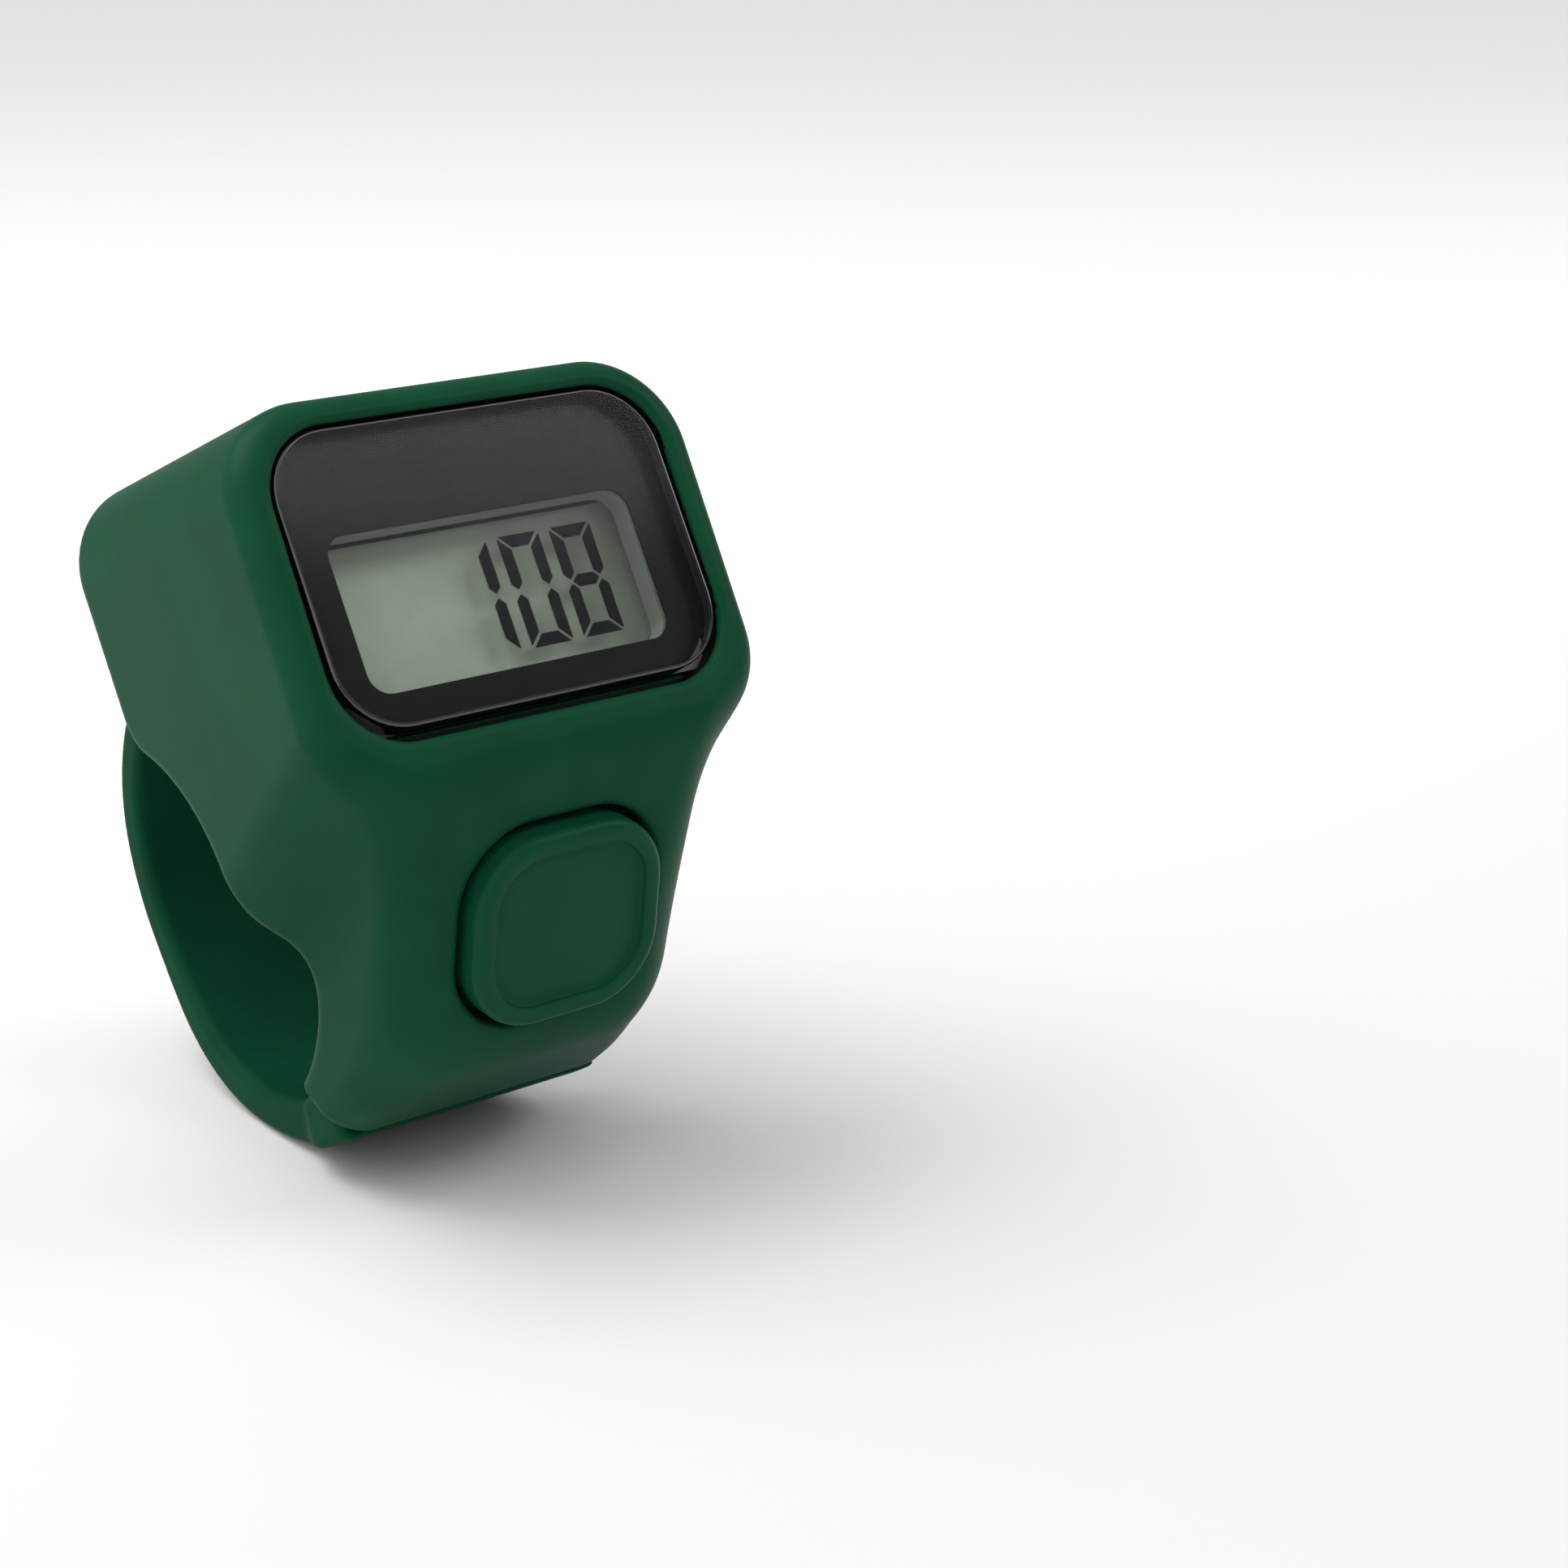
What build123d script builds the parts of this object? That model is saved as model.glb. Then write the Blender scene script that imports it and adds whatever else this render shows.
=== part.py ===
from build123d import *
import os
from math import atan2, cos, degrees, radians, sin

# Finger-ring tally counter. All lengths are millimetres.
# It is drawn lying along its display: x across, y up the display, z out of the display,
# with the origin at the middle of the finger hole. It is stood up at the very end.
# A point of the side view is kept as Vector(y, z).

# Finger hole and stance
FINGER_R = 8.0          # radius of the finger hole
TILT_BACK = 30.28       # lean of the display when the counter stands, degrees
SADDLE_DEPTH = 10.05     # finger surface to lens face
FACE_UP = 8.65          # lens centre above the finger hole's centre

# Display
LENS_W = 17.5
LENS_H = 11.8
LENS_R = 2.8            # corner radius
LENS_T = 1.0
LENS_BEVEL = 0.3
LENS_GAP = 0.3          # dark gap round the lens
LIP_RISE = 0.35         # shell rim above the lens face
MASK_T = 0.1
TAPE_T = 0.2
TAPE_INSET = 0.15
MASK_SIDE = 1.75        # black border beside the window
MASK_ABOVE = 4.01       # black border above the window
MASK_BELOW = 1.49       # black border below the window
WINDOW_R = 0.9
BEZEL_T = 0.9           # frame border over the LCD glass
LCD_MARGIN = 0.8        # LCD glass outside the window, each side
LCD_T = 0.9
LCD_GAP = 0.15          # LCD glass to its frame, each side
FRAME_WALL = 0.5        # frame round the LCD glass
FRAME_GAP = 0.1         # frame to the shell's ledge
REFLECTOR_T = 0.2
STRIP_W = 0.65          # rubber contact strips
STRIP_H = 0.8
LEDGE_T = 1.1           # shell ledge under the lens
DIGIT_MARGIN = 0.85     # window's edge to the digits, above and below
DIGIT_W = 1.95
DIGIT_PITCH = 2.5
DIGIT_STROKE = 0.5
DIGIT_CUT = 0.1         # slit between two segments
DIGIT_T = 0.06
DIGIT_SIDE = 1.3        # last digit to the window's right side

# Shell
WALL = 1.4
HEAD_RIM = 1.45         # shell beside the lens
HEAD_RIM_TOP = 0.9      # shell above the lens
LIP_BELOW = 1.5         # lens pocket to the bend under it
LIP_ROUND = 0.25        # round along the pocket's edge
HEAD_CORNER_R = 4.0
EDGE_R = 1.1            # round along the front edges
END_SLANT = 7.0         # lean of the head's end wall, degrees
HEAD_DEPTH = 13.8       # lens face to the head's back rim
BUTTON_TURN = 38.0      # button face against the display, degrees
BUTTON_BELOW = 7.6      # bend under the lens to the button's centre
TAIL_TURN = 81.0        # lower tail against the display, degrees
TAIL_BEND = 5.4         # button's centre to the bend under it
TAIL_LEN = 6.6          # that bend to the tail's end
BEND_R = 3.0
TAIL_BEND_R = 4.0
TAIL_W = 15.0           # width where the tail starts
TAIL_END_W = 13.5
TAIL_CORNER_R = 3.6
SHOULDER_RUN = 2.26     # length of the sloped shoulders in the draw plane
SHOULDER_R = 3.0        # round at both ends of the shoulders
SHOULDER_RISE = 0.3     # bend under the lens to the middle of the shoulders, in the draw plane
DRAW_LEAN = 18.4        # lean of the shoulder line, degrees
RIM_SINK = 0.1          # shell rim below the liner
RIM_ROUND = 2.5         # where the finger saddle meets the flat back rim
SEAM = 0.12             # liner to shell
BOSS_R = 1.4
BOSS_IN = 3.55          # screw boss from the head's side
BOSS_DOWN = 2.15        # screw boss from the head's end
PEG_R = 0.6             # pegs that carry the switch board
PEG_X = 2.5
PEG_UP = 5.1            # pegs above the button's centre

# Strap
LINER_T = 0.9
STRAP_T = 1.6
STRAP_W = 8.4
STRAP_BASE_W = 11.4
PARTING = 0.3           # gap between tail end and strap
FLEX_AT = 20.0          # flex line round the ring, degrees
FLEX_GAP = 0.12
BASE_END = 36.0         # where the thick base has thinned out, degrees
HOOK_IN = 7.0           # inner radius of the hook
HOOK_UP = 3.6           # hook's centre from the finger hole's centre, up the display
HOOK_BACK = 2.7         # and away from it
HOOK_END = 175.0        # where the round hook turns outwards, degrees
FLARE_R = 3.0
FLARE_TURN = 75.0
LIP_LEN = 2.2
LIP_CORNER_R = 2.6

# Count button
BUTTON_W = 8.8
BUTTON_H = 8.1
BUTTON_R = 2.4
BUTTON_RISE = 0.85
BUTTON_GAP = 0.3
BUTTON_ROUND = 0.4
BUTTON_RIM = 0.85
BUTTON_DISH = 0.2
BUTTON_TRAVEL = 0.5
FLANGE_OUT = 0.7        # flange wider than the hole, each side
FLANGE_H = 7.0
FLANGE_T = 0.5
KEY_GAP = 0.1           # flange to the wall's inside
POST_R = 0.7
POST_LEN = 0.35
PRESS_SPARE = 0.1       # left under a flange at full press

# Switches
SWITCH_W = 3.6
STEM_R = 0.8
STEM_GAP = 0.06
STEM_IN = 0.2           # stem inside its case at rest
STEM_FLOOR = 0.1        # left under a stem at full press
SWITCH_BOARD_W = 8.6
SWITCH_BOARD_UP = 5.7
SWITCH_BOARD_DOWN = 2.0
BOARD_T = 0.6

# Reset button
RESET_D = 5.1
RESET_RISE = 0.7
RESET_GAP = 0.12
RESET_DIMPLE_R = 0.5
RESET_DIMPLE = 0.12
RESET_TRAVEL = 0.4
RESET_FLANGE_OUT = 0.5
RESET_SWITCH_L = 2.2    # reset switch along its press

# Inside
COVER_T = 0.7
BOARD_GAP = 0.35        # board to the cavity's sides
BOARD_FOOT = 1.4        # bend under the lens to the board's lower edge
BOARD_HEAD = 2.65       # head's end to the board's upper edge
LINK_W = 3.0            # ribbon between the boards
LINK_T = 0.12
LINK_X = 3.0
LINK_HOLD = 1.3         # ribbon on each board
CELL_D = 7.9
CELL_H = 3.6
CELL_IN = 4.45          # board's side to the cell's centre
CELL_DOWN = 8.0         # head's end to the cell's centre
PLATE_T = 0.15
CLIP_W = 3.0
CLIP_GAP = 0.1          # clip leg to the cell
BLOB_R = 2.0
BLOB_H = 0.9
BLOB_IN = 3.75          # board's other side to the blob's centre
BLOB_DOWN = 8.0         # head's end to the blob's centre
CHIP_W = 1.0
CHIP_D = 0.5
CHIP_T = 0.45
CHIP_PITCH = 1.5
CHIP_IN = 2.15          # board's side to the outer small part
CHIP_DOWN = 5.45        # head's end to the small parts
SCREW_R = 0.6
SCREW_HEAD_R = 1.1
SCREW_HEAD_T = 0.35
SCREW_LEN = 4.5
SCREW_GAP = 0.05
SCREW_SLOT_W = 0.35
SCREW_SLOT = 0.18

# Places worked out from the sizes above
FACE_Z = FINGER_R + SADDLE_DEPTH
CREST_Z = FACE_Z + LIP_RISE
RIM_Z = FACE_Z - HEAD_DEPTH
MASK_Z = FACE_Z - LENS_T
TAPE_Z = MASK_Z - MASK_T
LEDGE_Z = TAPE_Z - TAPE_T
INNER_Z = LEDGE_Z - LEDGE_T
LCD_Z = LEDGE_Z - BEZEL_T
STRIP_Z = LCD_Z - LCD_T
BOARD_Z = STRIP_Z - STRIP_H
BACK_Z = BOARD_Z - BOARD_T
HEAD_W = LENS_W + 2 * LENS_GAP + 2 * HEAD_RIM
HEAD_TOP = FACE_UP + LENS_H / 2 + LENS_GAP + HEAD_RIM_TOP
WINDOW_H = LENS_H - MASK_ABOVE - MASK_BELOW
WINDOW_DROP = (MASK_ABOVE - MASK_BELOW) / 2
WINDOW_Y = FACE_UP - WINDOW_DROP
WINDOW_W = LENS_W - 2 * MASK_SIDE
LCD_W = WINDOW_W + 2 * LCD_MARGIN
LCD_H = WINDOW_H + 2 * LCD_MARGIN
DIGIT_H = WINDOW_H - 2 * DIGIT_MARGIN
HOOK_R = HOOK_IN + STRAP_T
CELL_Z = BACK_Z - PLATE_T - CELL_H
BOSS_X = HEAD_W / 2 - BOSS_IN
BOSS_Y = HEAD_TOP - BOSS_DOWN
COVER_Z = RIM_Z + LINER_T
BOSS_Z = COVER_Z + COVER_T
BOARD_HALF = HEAD_W / 2 - WALL - BOARD_GAP
BOARD_TOP = HEAD_TOP - BOARD_HEAD
CELL_X = CELL_IN - BOARD_HALF
CELL_Y = HEAD_TOP - CELL_DOWN
BLOB_X = BOARD_HALF - BLOB_IN
BLOB_Y = HEAD_TOP - BLOB_DOWN
CHIP_X = BOARD_HALF - CHIP_IN
CHIP_Y = HEAD_TOP - CHIP_DOWN
FLANGE_AT = WALL + KEY_GAP
FLANGE_LOW = FLANGE_AT + FLANGE_T
POST_LOW = FLANGE_LOW + POST_LEN
CASE_AT = FLANGE_LOW + BUTTON_TRAVEL + PRESS_SPARE
STEM_LOW = CASE_AT + STEM_IN
CASE_LOW = STEM_LOW + BUTTON_TRAVEL + STEM_FLOOR
RESET_CASE_AT = FLANGE_LOW + RESET_TRAVEL + PRESS_SPARE
RESET_STEM_LOW = RESET_CASE_AT + STEM_IN
RESET_BORE_LOW = RESET_STEM_LOW + RESET_TRAVEL + STEM_FLOOR
SPAN = 4 * HEAD_W       # passes through everything
CENTRE = Vector(0, 0)
LEVEL = Vector(1, 0)


def along(angle):
    """Step down the front, turned back from the display by the angle."""
    return Vector(-cos(radians(angle)), -sin(radians(angle)))


def outward(angle):
    """Step out of that face."""
    return Vector(-sin(radians(angle)), cos(radians(angle)))


def meet(p, a, q, b):
    """Point where the line through p along a crosses the line through q along b."""
    step = ((q.X - p.X) * b.Y - (q.Y - p.Y) * b.X) / (a.X * b.Y - a.Y * b.X)
    return p + a * step


def ring(angle, radius):
    """Point round the finger hole: 0 on the tail side, 90 at the back, 180 on the head side."""
    return Vector(-radius * cos(radians(angle)), -radius * sin(radians(angle)))


def draw_height(point):
    """Height of a side-view point in the draw plane."""
    return point.X * cos(radians(DRAW_LEAN)) - point.Y * sin(radians(DRAW_LEAN))


def in_space(point):
    """A side-view point on the middle plane."""
    return Vector(0, point.X, point.Y)


BEND = Vector(FACE_UP - LENS_H / 2 - LENS_GAP - LIP_BELOW, CREST_Z)
BOARD_LOW = BEND.X + BOARD_FOOT
SHOULDER_AT = draw_height(BEND) + SHOULDER_RISE
BUTTON_AT = BEND + along(BUTTON_TURN) * BUTTON_BELOW
TAIL_KNEE = BUTTON_AT + along(BUTTON_TURN) * TAIL_BEND
TAIL_END = TAIL_KNEE + along(TAIL_TURN) * TAIL_LEN
TAIL_UP = Vector(TAIL_END.Y, -TAIL_END.X).normalized()
END_WAY = Vector(sin(radians(END_SLANT)), -cos(radians(END_SLANT)))
END_OUT = Vector(cos(radians(END_SLANT)), sin(radians(END_SLANT)))
HEAD_EDGE = Vector(HEAD_TOP, CREST_Z)
RESET_AT = meet(HEAD_EDGE, END_WAY, Vector(0, (CREST_Z + RIM_Z) / 2), Vector(1, 0))

DRAW_PLANE = Plane((0, 0, 0), x_dir=(1, 0, 0),
                   z_dir=(0, sin(radians(DRAW_LEAN)), cos(radians(DRAW_LEAN))))
BUTTON_PLANE = Plane(in_space(BUTTON_AT), x_dir=(1, 0, 0), z_dir=in_space(outward(BUTTON_TURN)))
RESET_PLANE = Plane(in_space(RESET_AT), x_dir=(1, 0, 0), z_dir=in_space(END_OUT))
HOOK_AT = Vector(HOOK_UP, -HOOK_BACK)
FLEX_WAY = ring(FLEX_AT, 1)
TIGHTER = FINGER_R - HOOK_IN
SWEEP_OUT = (HOOK_AT.length**2 - TIGHTER**2) / (2 * (TIGHTER - HOOK_AT.dot(FLEX_WAY)))
SWEEP_R = FINGER_R + SWEEP_OUT
SWEEP_AT = FLEX_WAY * -SWEEP_OUT
BAND_R = SWEEP_R + STRAP_T
HOOK_TURN = degrees(atan2(HOOK_AT.Y - SWEEP_AT.Y, HOOK_AT.X - SWEEP_AT.X)) % 360
BASE_WAY = ring(BASE_END, 1)
TAIL_OUT = TAIL_END - SWEEP_AT
BASE_OUT = (TAIL_OUT.length**2 - BAND_R**2) / (2 * (BAND_R - TAIL_OUT.dot(BASE_WAY)))
BASE_R = BAND_R + BASE_OUT
BASE_AT = SWEEP_AT - BASE_WAY * BASE_OUT


def base_radius(angle):
    """Distance from the finger hole's centre to the strap's outside near the tail."""
    middle = BASE_AT.dot(ring(angle, 1))
    return middle + (middle**2 - BASE_AT.length**2 + BASE_R**2) ** 0.5


KNUCKLE_R = (base_radius(FLEX_AT) - FINGER_R) / 2
FLEX_LINE = ring(FLEX_AT, FINGER_R + KNUCKLE_R)
FLARE_AT = HOOK_AT + ring(HOOK_END, HOOK_IN + STRAP_T / 2 + FLARE_R)
LIP_WAY = HOOK_END - FLARE_TURN - 90
LIP_TIP = (FLARE_AT + Vector(cos(radians(LIP_WAY + 90)), sin(radians(LIP_WAY + 90))) * FLARE_R
           + Vector(cos(radians(LIP_WAY)), sin(radians(LIP_WAY))) * LIP_LEN)
TIP_Y = LIP_TIP.X + STRAP_T / 2


def slab(face, width=SPAN):
    """A side-view face thickened evenly across the counter."""
    return extrude(Plane.YZ * face, amount=width / 2, both=True)


def plate(shape, plane, low, high):
    """A flat shape on a plane, from one height over it to another."""
    return extrude(plane.offset(low) * shape, amount=high - low)


def flat(x, y):
    """Plane parallel to the display, with its own middle."""
    return Plane((x, y, 0))


def nearest(face, point):
    """The face's corner nearest to a point."""
    return face.vertices().sort_by_distance((point.X, point.Y))[0]


def draw_through(face):
    """A front-view face cut through along the draw direction."""
    return extrude(DRAW_PLANE * face, amount=SPAN, both=True)


def finger_space(out):
    """Side view of the finger's room: the round hole and the flat back beside it, grown by out."""
    top = RIM_Z + out
    radius = FINGER_R + out
    face = Circle(radius) + Pos(SPAN / 2, top - SPAN / 2) * Rectangle(SPAN, SPAN)
    corner = nearest(face, Vector((radius**2 - top**2) ** 0.5, top))
    return fillet(corner, RIM_ROUND - out)


def end_line(wall):
    """Point on the head's end wall, moved in by wall."""
    return HEAD_EDGE - END_OUT * wall


def side_face(depth, wall):
    """Side view of the casing, its display moved in by depth and its other faces by wall."""
    display = Vector(0, CREST_Z - depth)
    button = BUTTON_AT - outward(BUTTON_TURN) * wall
    tail = TAIL_END - outward(TAIL_TURN) * wall
    inner = TAIL_UP * wall
    top = meet(end_line(wall), END_WAY, display, LEVEL)
    bend = meet(display, LEVEL, button, along(BUTTON_TURN))
    knee = meet(button, along(BUTTON_TURN), tail, along(TAIL_TURN))
    tip = meet(tail, along(TAIL_TURN), inner, TAIL_END)
    foot = meet(end_line(wall), END_WAY, CENTRE, LEVEL)
    face = make_face(Polyline(top, bend, knee, tip, inner, foot, close=True))
    face = fillet(nearest(face, bend), BEND_R)
    return fillet(nearest(face, knee), TAIL_BEND_R - wall)


def outline(inset):
    """Front view of the casing along the draw direction, moved in by inset, open at its bottom."""
    head = HEAD_W / 2
    tail = TAIL_W / 2
    half = SHOULDER_RUN / 2
    low = draw_height(TAIL_KNEE)
    right = [(head, SPAN), (head, SHOULDER_AT + half), (tail, SHOULDER_AT - half),
             (TAIL_END_W / 2, low), (TAIL_END_W / 2, low - SPAN)]
    left = [(-x, y) for x, y in reversed(right)]
    face = make_face(Polyline(*right, *left, close=True))
    for x, y in right[1:3]:
        for side in (x, -x):
            face = fillet(nearest(face, Vector(side, y)), SHOULDER_R)
    return offset(face, -inset) if inset else face


def tail_outline(inset):
    """The same front view, closed under the tail with round corners."""
    cut = Pos(0, draw_height(TAIL_KNEE) - SPAN / 2) * Rectangle(SPAN, SPAN)
    face = outline(0) - cut
    face = fillet(face.vertices().group_by(Axis.Y)[0], TAIL_CORNER_R)
    return offset(face, -inset) if inset else face


def head_room(inset):
    """The head's sides and end wall, moved in by inset, with round corners between them."""
    shape = Pos(0, SPAN / 2) * Rectangle(HEAD_W - 2 * inset, SPAN)
    shape = fillet(shape.vertices().group_by(Axis.Y)[0], HEAD_CORNER_R - inset)
    plane = Plane(in_space(end_line(inset)), x_dir=(1, 0, 0), z_dir=in_space(END_WAY))
    return extrude(plane * shape, amount=SPAN, both=True)


def faces_front(face):
    """Does this face look out of the front, from the display down to the tail?"""
    way = face.normal_at()
    return abs(way.X) < 0.02 and way.Z > 0.1 and way.Y < 0.05


def front_border(body):
    """Edges round the casing's front, without the tail's end."""
    edges = [edge for face in body.faces() if faces_front(face) for edge in face.edges()]
    border = [edge for edge in edges if sum(edge.is_same(other) for other in edges) == 1]
    return [edge for edge in border if edge.center().Z > TAIL_END.Y + 0.01]


def casing():
    """Solid form of the casing, before it is hollowed."""
    body = slab(side_face(0, 0)) & draw_through(outline(0)) & head_room(0)
    body = fillet(front_border(body), EDGE_R)
    body = body & draw_through(tail_outline(0))
    return body - slab(finger_space(RIM_SINK))


def inside(depth, wall):
    """Room inside the casing, its display moved in by depth and its other faces by wall."""
    body = slab(side_face(depth, wall)) & draw_through(outline(wall)) & head_room(wall)
    return body & draw_through(tail_outline(wall))


def lens_shape(out):
    """Front view of the lens, grown by out."""
    return RectangleRounded(LENS_W + 2 * out, LENS_H + 2 * out, LENS_R + out)


def window_shape(out):
    """Front view of the display window, grown by out."""
    return RectangleRounded(WINDOW_W + 2 * out, WINDOW_H + 2 * out, WINDOW_R + out)


def lcd_shape(out):
    """Front view of the LCD glass, grown by out."""
    return Rectangle(LCD_W + 2 * out, LCD_H + 2 * out)


def button_shape(out):
    """Front view of the count button, grown by out."""
    return RectangleRounded(BUTTON_W + 2 * out, BUTTON_H + 2 * out, BUTTON_R + out)


def at_bosses(radius, low, high):
    """Round posts on the two screw places."""
    return [plate(Circle(radius), flat(side * BOSS_X, BOSS_Y), low, high) for side in (1, -1)]


def front_shell():
    """Outer shell with the lens pocket, the button holes, screw bosses and board pegs."""
    shell = casing() - inside(CREST_Z - INNER_Z, WALL)
    shell -= slab(Circle(FINGER_R + LINER_T + SEAM)) & draw_through(outline(WALL))
    shell -= plate(lens_shape(LENS_GAP), flat(0, FACE_UP), LEDGE_Z, CREST_Z + 1)
    lip = shell.edges().filter_by(on_pocket_lip)
    shell = fillet(lip, LIP_ROUND)
    opening = lcd_shape(LCD_GAP + FRAME_WALL + FRAME_GAP)
    shell -= plate(opening, flat(0, WINDOW_Y), INNER_Z - 1, LEDGE_Z + 1)
    shell -= plate(button_shape(BUTTON_GAP), BUTTON_PLANE, -FLANGE_LOW, BUTTON_RISE)
    shell -= plate(Circle(RESET_D / 2 + RESET_GAP), RESET_PLANE, -FLANGE_LOW, RESET_RISE)
    for post in at_bosses(BOSS_R, BOSS_Z, LEDGE_Z):
        shell += post
    for hole in at_bosses(SCREW_R, BOSS_Z - 1, COVER_Z + SCREW_LEN):
        shell -= hole
    for side in (1, -1):
        peg = Pos(side * PEG_X, PEG_UP) * Circle(PEG_R)
        shell += plate(peg, BUTTON_PLANE, -CASE_LOW, -WALL)
    return shell


def on_pocket_lip(edge):
    """Is this edge on the upper border of the lens pocket?"""
    middle = edge.center()
    across = LENS_W / 2 + LENS_GAP + 0.01
    level = abs(middle.Z - CREST_Z) < 1e-3 and abs(middle.X) < across
    return level and abs(middle.Y - FACE_UP) < LENS_H / 2 + LENS_GAP + 0.01


def display_lens():
    """Clear lens with a bevelled border."""
    lens = plate(lens_shape(0), flat(0, FACE_UP), MASK_Z, FACE_Z)
    return chamfer(lens.faces().sort_by(Axis.Z)[-1].edges(), LENS_BEVEL)


def mask_film():
    """Black film under the lens, with the display window."""
    opening = Pos(0, -WINDOW_DROP) * window_shape(0)
    return plate(lens_shape(0) - opening, flat(0, FACE_UP), TAPE_Z, MASK_Z)


def lens_tape():
    """Adhesive sheet between the film and the shell's ledge."""
    opening = Pos(0, -WINDOW_DROP) * window_shape(TAPE_INSET)
    return plate(lens_shape(-TAPE_INSET) - opening, flat(0, FACE_UP), LEDGE_Z, TAPE_Z)


def lcd_panel():
    """LCD glass."""
    return plate(lcd_shape(0), flat(0, WINDOW_Y), STRIP_Z, LCD_Z)


def lcd_reflector():
    """Reflector sheet behind the glass, between the contact strips."""
    sheet = Rectangle(LCD_W, LCD_H - 2 * STRIP_W - 2 * LCD_GAP)
    return plate(sheet, flat(0, WINDOW_Y), STRIP_Z - REFLECTOR_T, STRIP_Z)


def contact_strips():
    """Two rubber contact strips between the glass and the board."""
    strip = Rectangle(LCD_W, STRIP_W)
    away = (LCD_H - STRIP_W) / 2
    return [plate(strip, flat(0, WINDOW_Y + side * away), BOARD_Z, STRIP_Z) for side in (1, -1)]


def bar(corners, x, y):
    """One bar of a digit, mirrored where x or y is -1."""
    return make_face(Polyline(*[(x * u, y * v) for u, v in corners], close=True))


def digit(shown):
    """The named bars of a seven-bar digit, mitred at its corners."""
    w, h, thick, cut = DIGIT_W / 2, DIGIT_H / 2, DIGIT_STROKE, DIGIT_CUT
    half = thick / 2
    level = [(cut - w, h), (w - cut, h), (w - thick - cut, h - thick), (thick + cut - w, h - thick)]
    upright = [(w, h - cut), (w - thick, h - thick - cut), (w - thick, half + cut),
               (w - half, cut), (w, half + cut)]
    middle = [(half + cut - w, 0), (thick + cut - w, half), (w - thick - cut, half),
              (w - half - cut, 0), (w - thick - cut, -half), (thick + cut - w, -half)]
    bars = {"a": (level, 1, 1), "d": (level, 1, -1), "g": (middle, 1, 1), "b": (upright, 1, 1),
            "c": (upright, 1, -1), "f": (upright, -1, 1), "e": (upright, -1, -1)}
    return [bar(*bars[name]) for name in shown]


def lcd_digits():
    """The bars that show the count, on the glass."""
    bars = []
    last = WINDOW_W / 2 - DIGIT_SIDE - DIGIT_W / 2
    for place, shown in enumerate(("abcdefg", "abcdef", "bc")):
        for form in digit(shown):
            shape = Pos(last - place * DIGIT_PITCH, 0) * form
            bars.append(plate(shape, flat(0, WINDOW_Y), LCD_Z, LCD_Z + DIGIT_T))
    return bars


def board_shape():
    """Front view of the main board, with its corners cut away at the bosses."""
    middle = (BOARD_LOW + BOARD_TOP) / 2
    shape = Pos(0, middle) * Rectangle(2 * BOARD_HALF, BOARD_TOP - BOARD_LOW)
    for side in (1, -1):
        shape -= Pos(side * BOSS_X, BOSS_Y) * Rectangle(2 * BOSS_IN, 2 * (BOSS_R + LCD_GAP))
    return shape


def lcd_frame():
    """Frame round the glass and the strips, with a border over the glass."""
    frame = plate(lcd_shape(LCD_GAP + FRAME_WALL), flat(0, WINDOW_Y), BOARD_Z, LEDGE_Z)
    frame += plate(board_shape(), Plane.XY, BOARD_Z, INNER_Z)
    frame -= plate(lcd_shape(LCD_GAP), flat(0, WINDOW_Y), BOARD_Z, LCD_Z)
    return frame - plate(window_shape(0), flat(0, WINDOW_Y), LCD_Z, LEDGE_Z)


def main_board():
    """Board under the display."""
    return plate(board_shape(), Plane.XY, BACK_Z, BOARD_Z)


def controller_chip():
    """Round blob of resin over the bare chip."""
    blob = plate(Circle(BLOB_R), flat(BLOB_X, BLOB_Y), BACK_Z - BLOB_H, BACK_Z)
    return fillet(blob.faces().sort_by(Axis.Z)[0].edges(), BLOB_H * 0.7)


def board_parts():
    """Three small parts on the back of the board."""
    shape = Rectangle(CHIP_W, CHIP_D)
    return [plate(shape, flat(CHIP_X - step * CHIP_PITCH, CHIP_Y), BACK_Z - CHIP_T, BACK_Z)
            for step in range(3)]


def button_cell():
    """Coin cell on the back of the board."""
    cell = plate(Circle(CELL_D / 2), flat(CELL_X, CELL_Y), CELL_Z, CELL_Z + CELL_H)
    return fillet(cell.edges().filter_by(GeomType.CIRCLE), PLATE_T)


def cell_plate_negative():
    """Contact plate between the board and the cell."""
    return plate(Rectangle(CELL_D - CLIP_W, CLIP_W), flat(CELL_X, CELL_Y), BACK_Z - PLATE_T, BACK_Z)


def cell_clip_positive():
    """Bridge over the cell, standing on the board."""
    reach = CELL_D + 2 * CLIP_GAP + 2 * PLATE_T
    bridge = plate(Rectangle(reach, CLIP_W), flat(CELL_X, CELL_Y), CELL_Z - PLATE_T, BACK_Z)
    inner = Rectangle(reach - 2 * PLATE_T, CLIP_W)
    return bridge - plate(inner, flat(CELL_X, CELL_Y), CELL_Z, BACK_Z)


def count_button():
    """Square count button with a raised border, a retaining flange and a post."""
    key = plate(button_shape(0), BUTTON_PLANE, -FLANGE_LOW, BUTTON_RISE)
    key -= plate(button_shape(-BUTTON_RIM), BUTTON_PLANE, BUTTON_RISE - BUTTON_DISH, BUTTON_RISE)
    way = Axis(BUTTON_PLANE.origin, BUTTON_PLANE.z_dir)
    rim = key.faces().sort_by(way)[-1]
    key = fillet(rim.outer_wire().edges(), BUTTON_ROUND)
    wide = BUTTON_W + 2 * BUTTON_GAP + 2 * FLANGE_OUT
    key += plate(Rectangle(wide, FLANGE_H), BUTTON_PLANE, -FLANGE_LOW, -FLANGE_AT)
    return key + plate(Circle(POST_R), BUTTON_PLANE, -POST_LOW, -FLANGE_LOW)


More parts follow.
